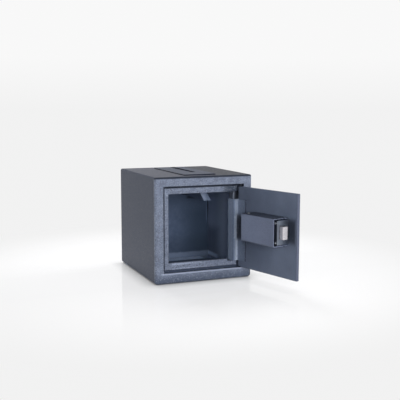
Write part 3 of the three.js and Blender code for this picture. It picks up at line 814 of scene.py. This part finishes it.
# Rectangle with round corners as a closed loop: each corner is a quarter circle of its own radius,
# with the same number of points in every loop, so that two loops match point for point
def roundLoop(low, high, lowerRadius, upperRadius, steps):
    quarter = np.linspace(0, math.pi / 2, steps)
    corners = []
    rounds = (
        ((1, 0), lowerRadius, -1), ((1, 1), upperRadius, 0),
        ((0, 1), upperRadius, 1), ((0, 0), lowerRadius, 2),
    )
    for side, radius, turn in rounds:
        centre = [(high[axis] - radius) if side[axis] else (low[axis] + radius) for axis in (0, 1)]
        angle = quarter + turn * math.pi / 2
        across, up = centre[0] + radius * np.cos(angle), centre[1] + radius * np.sin(angle)
        corners.append(np.stack([across, up], -1))
    return np.concatenate(corners)


flatBeside = 0.03  # two lines this share of the face from its edges keep it flat beside its rounds


# Flat frame between an outline and an opening. Across it the section runs up the opening's wall, over
# a small round, along the face, and down a quarter ellipse from the face's edge to the outline:
#   plan = faceEdge + (outline - faceEdge) * sin(t), depth = drop * (1 - cos(t)), t from 0 to 90 degrees
def framedPlate(opening, openingFace, faceEdge, outline, thickness, steps):
    t = np.linspace(0, math.pi / 2, steps)[None, :, None]
    count = len(outline)
    easing = np.abs(openingFace - opening).max(1)[:, None, None]
    drop = np.abs(outline - faceEdge).max(1)[:, None, None]
    inner = opening[:, None] + (openingFace - opening)[:, None] * (1 - np.cos(t))
    lip = openingFace + (faceEdge - openingFace) * flatBeside
    hem = openingFace + (faceEdge - openingFace) * (1 - flatBeside)
    outer = faceEdge[:, None] + (outline - faceEdge)[:, None] * np.sin(t)
    plan = np.concatenate(
        [opening[:, None], inner, lip[:, None], hem[:, None], outer, outline[:, None]], 1,
    )
    face = np.zeros((count, 1, 1))
    foot = face + thickness
    depth = np.concatenate(
        [foot, easing * (1 - np.sin(t)), face, face, drop * (1 - np.cos(t)), foot], 1,
    )
    return plan[..., 0], plan[..., 1], depth[..., 0]


# Front frame: an 8 mm plate whose outer edges were ground round by hand, least along the top
frontPlate = {
    "openingLow": (-103.8, 26),
    "openingHigh": (103.8, 233),
    "openingEase": 0.6,
    "openingCorner": 0.4,
    "openingFaceCorner": 0.8,
    "faceLowerCorner": 2.4,
    "faceUpperCorner": 1.2,
    "lowerCorner": 8,
    "upperCorner": 4.5,
    "roundTop": 4.8,
    "roundSide": 5.6,
    "roundBottom": 7.6,
    "cornerSteps": 9,
    "roundSteps": 9,
}


def makeFrontFrame(plate):
    points = nodePoints("front_frame")
    low, high = points.min(0), points.max(0)
    ease, side, steps = plate["openingEase"], plate["roundSide"], plate["cornerSteps"]
    corner, faceCorner = plate["openingCorner"], plate["openingFaceCorner"]
    holeLow, holeHigh = np.array(plate["openingLow"]), np.array(plate["openingHigh"])
    faceLow = (low[0] + side, low[2] + plate["roundBottom"])
    faceHigh = (high[0] - side, high[2] - plate["roundTop"])
    x, z, depth = framedPlate(
        roundLoop(holeLow, holeHigh, corner, corner, steps),
        roundLoop(holeLow - ease, holeHigh + ease, faceCorner, faceCorner, steps),
        roundLoop(faceLow, faceHigh, plate["faceLowerCorner"], plate["faceUpperCorner"], steps),
        roundLoop(low[[0, 2]], high[[0, 2]], plate["lowerCorner"], plate["upperCorner"], steps),
        high[1] - low[1], plate["roundSteps"],
    )
    gridPiece("frontFrame", np.stack([x, low[1] + depth, z], -1), "front_frame")


makeFrontFrame(frontPlate)
print("front frame made")


# Slot plate: cut from sheet, its upper edges rolled over, round the deposit slot
roofPlate = {
    "slotLow": (1, -52),
    "slotHigh": (14, 108),
    "slotCorner": 3,
    "slotEase": 0.5,
    "corner": 5,
    "roll": 1.2,
    "cornerSteps": 9,
    "roundSteps": 6,
}


def makeSlotPlate(plate):
    points = nodePoints("slot_plate")
    low, high = points.min(0), points.max(0)
    ease, roll, corner, steps = plate["slotEase"], plate["roll"], plate["corner"], plate["cornerSteps"]
    slotLow, slotHigh = np.array(plate["slotLow"]), np.array(plate["slotHigh"])
    slotCorner = plate["slotCorner"]
    x, y, depth = framedPlate(
        roundLoop(slotLow, slotHigh, slotCorner, slotCorner, steps),
        roundLoop(slotLow - ease, slotHigh + ease, slotCorner + ease, slotCorner + ease, steps),
        roundLoop(low[:2] + roll, high[:2] - roll, corner - roll, corner - roll, steps),
        roundLoop(low[:2], high[:2], corner, corner, steps),
        high[2] - low[2], plate["roundSteps"],
    )
    gridPiece("slotPlate", np.stack([x, y, high[2] - depth], -1), "slot_plate")


makeSlotPlate(roofPlate)
print("slot plate made")


# Pan-head screw, turned from a profile: out over the head, in under it, and down the shank. The cross
# recess lowers the head inside two crossed bars, whose walls lean over crossSlope:
#   height = tall * (1 - (r/R)^5)^0.4 - deep * bars(x, y)
panHead = {
    "tall": 2.3,
    "domePower": 5,  # a high power keeps the middle flat and turns the rim down late
    "rimPower": 0.4,
    "shankRadius": 2,
    "crossLong": 1.9,
    "crossWide": 0.5,
    "crossDeep": 1.1,
    "crossSlope": 0.3,
    "turns": 64,
    "rings": 18,
}


# Across, height and along the third axis, for a screw that points down
def screwGrid(screw, radius, length):
    angle = np.linspace(0, 2 * math.pi, screw["turns"], endpoint=False)[:, None]
    r = radius * np.sin(np.linspace(0, math.pi / 2, screw["rings"]))[None]
    x, y = r * np.cos(angle), r * np.sin(angle)
    wide, long = screw["crossWide"], screw["crossLong"]

    def within(value, limit):
        return np.clip((limit - np.abs(value)) / screw["crossSlope"] + 0.5, 0, 1)

    bars = np.maximum(within(x, long) * within(y, wide), within(y, long) * within(x, wide))
    dome = (1 - (r / radius) ** screw["domePower"]) ** screw["rimPower"]
    head = screw["tall"] * dome - screw["crossDeep"] * bars
    shank, tip = screw["shankRadius"], screw["tall"] - length
    under = np.array([[shank, 0], [shank, tip], [0, tip]])
    flat = np.ones_like(angle)
    r = np.hstack([flat * r, flat * under[:, 0]])
    height = np.hstack([head, flat * under[:, 1]])
    return r * np.cos(angle), height, r * np.sin(angle)


def makeLockScrew(number):  # through the lid into the door
    node = f"lock_screw_{number}"
    low, high = shutBox(node)
    across, height, along = screwGrid(panHead, (high[0] - low[0]) / 2, high[1] - low[1])
    middle = (low + high) / 2
    grid = np.stack([middle[0] + across, high[1] - panHead["tall"] + height, middle[2] + along], -1)
    gridPiece(f"lockScrew{number}", swung(grid, openAngle), node, closeColumns=False)


def makeHoodScrew(place, side):  # through the hood's flange into the bracket
    node = f"hood_screw_{place}"
    low, high = shutBox(node)
    across, height, along = screwGrid(panHead, (high[0] - low[0]) / 2, high[2] - low[2])
    middle = (low + high) / 2
    seat = (high[2] if side > 0 else low[2]) - side * panHead["tall"]
    grid = np.stack([middle[0] + across, middle[1] + along, seat + side * height], -1)
    gridPiece(f"hoodScrew{place.capitalize()}", swung(grid, openAngle), node, closeColumns=False)


for number in range(1, 5):
    makeLockScrew(number)
makeHoodScrew("upper", 1)
makeHoodScrew("lower", -1)
print("screws made")


# Key sleeve: turned in one piece, a flange with a rolled rim on a tube. Its profile (r, y) goes round
# once: x = r * cos(a), z = r * sin(a), and the rim is a quarter circle.
sleeve = {
    "flangeThick": 2.5,
    "rim": 1.2,
    "tubeRadius": 9,
    "boreRadius": 6.3,
    "boreEase": 0.5,
    "beforeRim": 0.2,  # one more ring keeps the flange flat beside its rim
    "rimSteps": 6,
    "turns": 96,
}


def makeKeySleeve(turned):
    low, high = shutBox("key_sleeve")
    front, back = low[1], high[1]
    radius = (high[0] - low[0]) / 2
    rim, bore, ease, tube = turned["rim"], turned["boreRadius"], turned["boreEase"], turned["tubeRadius"]
    flat, behind = radius - rim - turned["beforeRim"], front + turned["flangeThick"]
    t = np.linspace(0, math.pi / 2, turned["rimSteps"])
    rolled = np.stack([radius - rim + rim * np.sin(t), front + rim - rim * np.cos(t)], -1)
    profile = np.concatenate([
        [[bore, back], [bore, front + ease], [bore + ease, front], [flat, front]],
        rolled,
        [[radius, behind], [tube, behind], [tube, back]],
    ])
    angle = np.linspace(0, 2 * math.pi, turned["turns"], endpoint=False)[:, None]
    middle = (low + high) / 2
    r, y = profile[:, 0][None], profile[:, 1][None] + 0 * angle
    grid = np.stack([middle[0] + r * np.cos(angle), y, middle[2] + r * np.sin(angle)], -1)
    gridPiece("keySleeve", swung(grid, openAngle), "key_sleeve")


makeKeySleeve(sleeve)
print("key sleeve made")


# Rivet that closes the lock case, on its end beside the bolt
caseRivet = {
    "offDoor": 30.8,  # from the door's inner face
    "height": 138.6,
    "radius": 1.2,
    "tall": 0.5,
    "sunk": 0.4,
    "turns": 32,
    "rings": 8,
}


def makeCaseRivet(rivet):  # a cap: height = tall * sqrt(1 - (r/R)^2), with a short root in the case
    low, high = shutBox("lock_case")
    doorFace = shutBox("door_plate")[1][1]
    angle = np.linspace(0, 2 * math.pi, rivet["turns"], endpoint=False)[:, None]
    r = rivet["radius"] * np.sin(np.linspace(0, math.pi / 2, rivet["rings"]))
    out = rivet["tall"] * np.sqrt(1 - (r / rivet["radius"]) ** 2)
    r = np.append(r, [rivet["radius"], 0])[None]
    out = np.append(out, [-rivet["sunk"], -rivet["sunk"]])[None]
    x = low[0] - out + 0 * angle
    y, z = doorFace + rivet["offDoor"] + r * np.cos(angle), rivet["height"] + r * np.sin(angle)
    grid = np.stack([x, y, z], -1)
    gridPiece("caseRivet", swung(grid, openAngle), "lock_case", closeColumns=False, stands=False)


makeCaseRivet(caseRivet)
print("case rivet made")

# Sheet and plate pieces keep the shape of their node; a copy gets the small round that cutting,
# folding and the coat leave along each edge, in millimetres
edgeRound = {
    "body_shell": 0.6, "back_panel": 0.4, "frame_web": 0.5, "stop_frame": 0.4, "hinge_guard": 0.4,
    "chute_left_wall": 0.3, "chute_right_wall": 0.3, "chute_front_plate": 0.3, "chute_back_plate": 0.3,
    "door_plate": 0.5, "hinge_bar": 0.5, "lock_backing_plate": 0.2, "lock_case": 0.4,
    "lock_case_lid": 0.5, "lock_hood": 0.35, "hood_bracket": 0.3, "lock_bolt": 0.5, "key_barrel": 0.3,
    "hinge_washer": 0.2, "hinge_pin_upper": 0.3, "hinge_pin_lower": 0.3,
}


def easeEdges(node, radius):
    shell = bmesh.new()
    shell.from_mesh(frame["nodes"][node].data)
    bmesh.ops.remove_doubles(shell, verts=shell.verts, dist=meshCare["joinedNode"] * mm)
    bmesh.ops.dissolve_limit(
        shell, angle_limit=math.radians(meshCare["flat"]), verts=shell.verts[:], edges=shell.edges[:],
    )
    mesh = bpy.data.meshes.new(node + "Eased")
    shell.to_mesh(mesh)
    shell.free()
    piece = addPiece(node + "Eased", mesh, node)
    bevel = piece.modifiers.new("easedEdges", "BEVEL")
    bevel.width = radius * mm
    bevel.segments = meshCare["easeSteps"]
    bevel.limit_method = "ANGLE"
    bevel.angle_limit = math.radians(meshCare["eased"])
    bevel.harden_normals = True


for node, radius in edgeRound.items():
    easeEdges(node, radius)
print("edges eased on", len(edgeRound), "pieces")
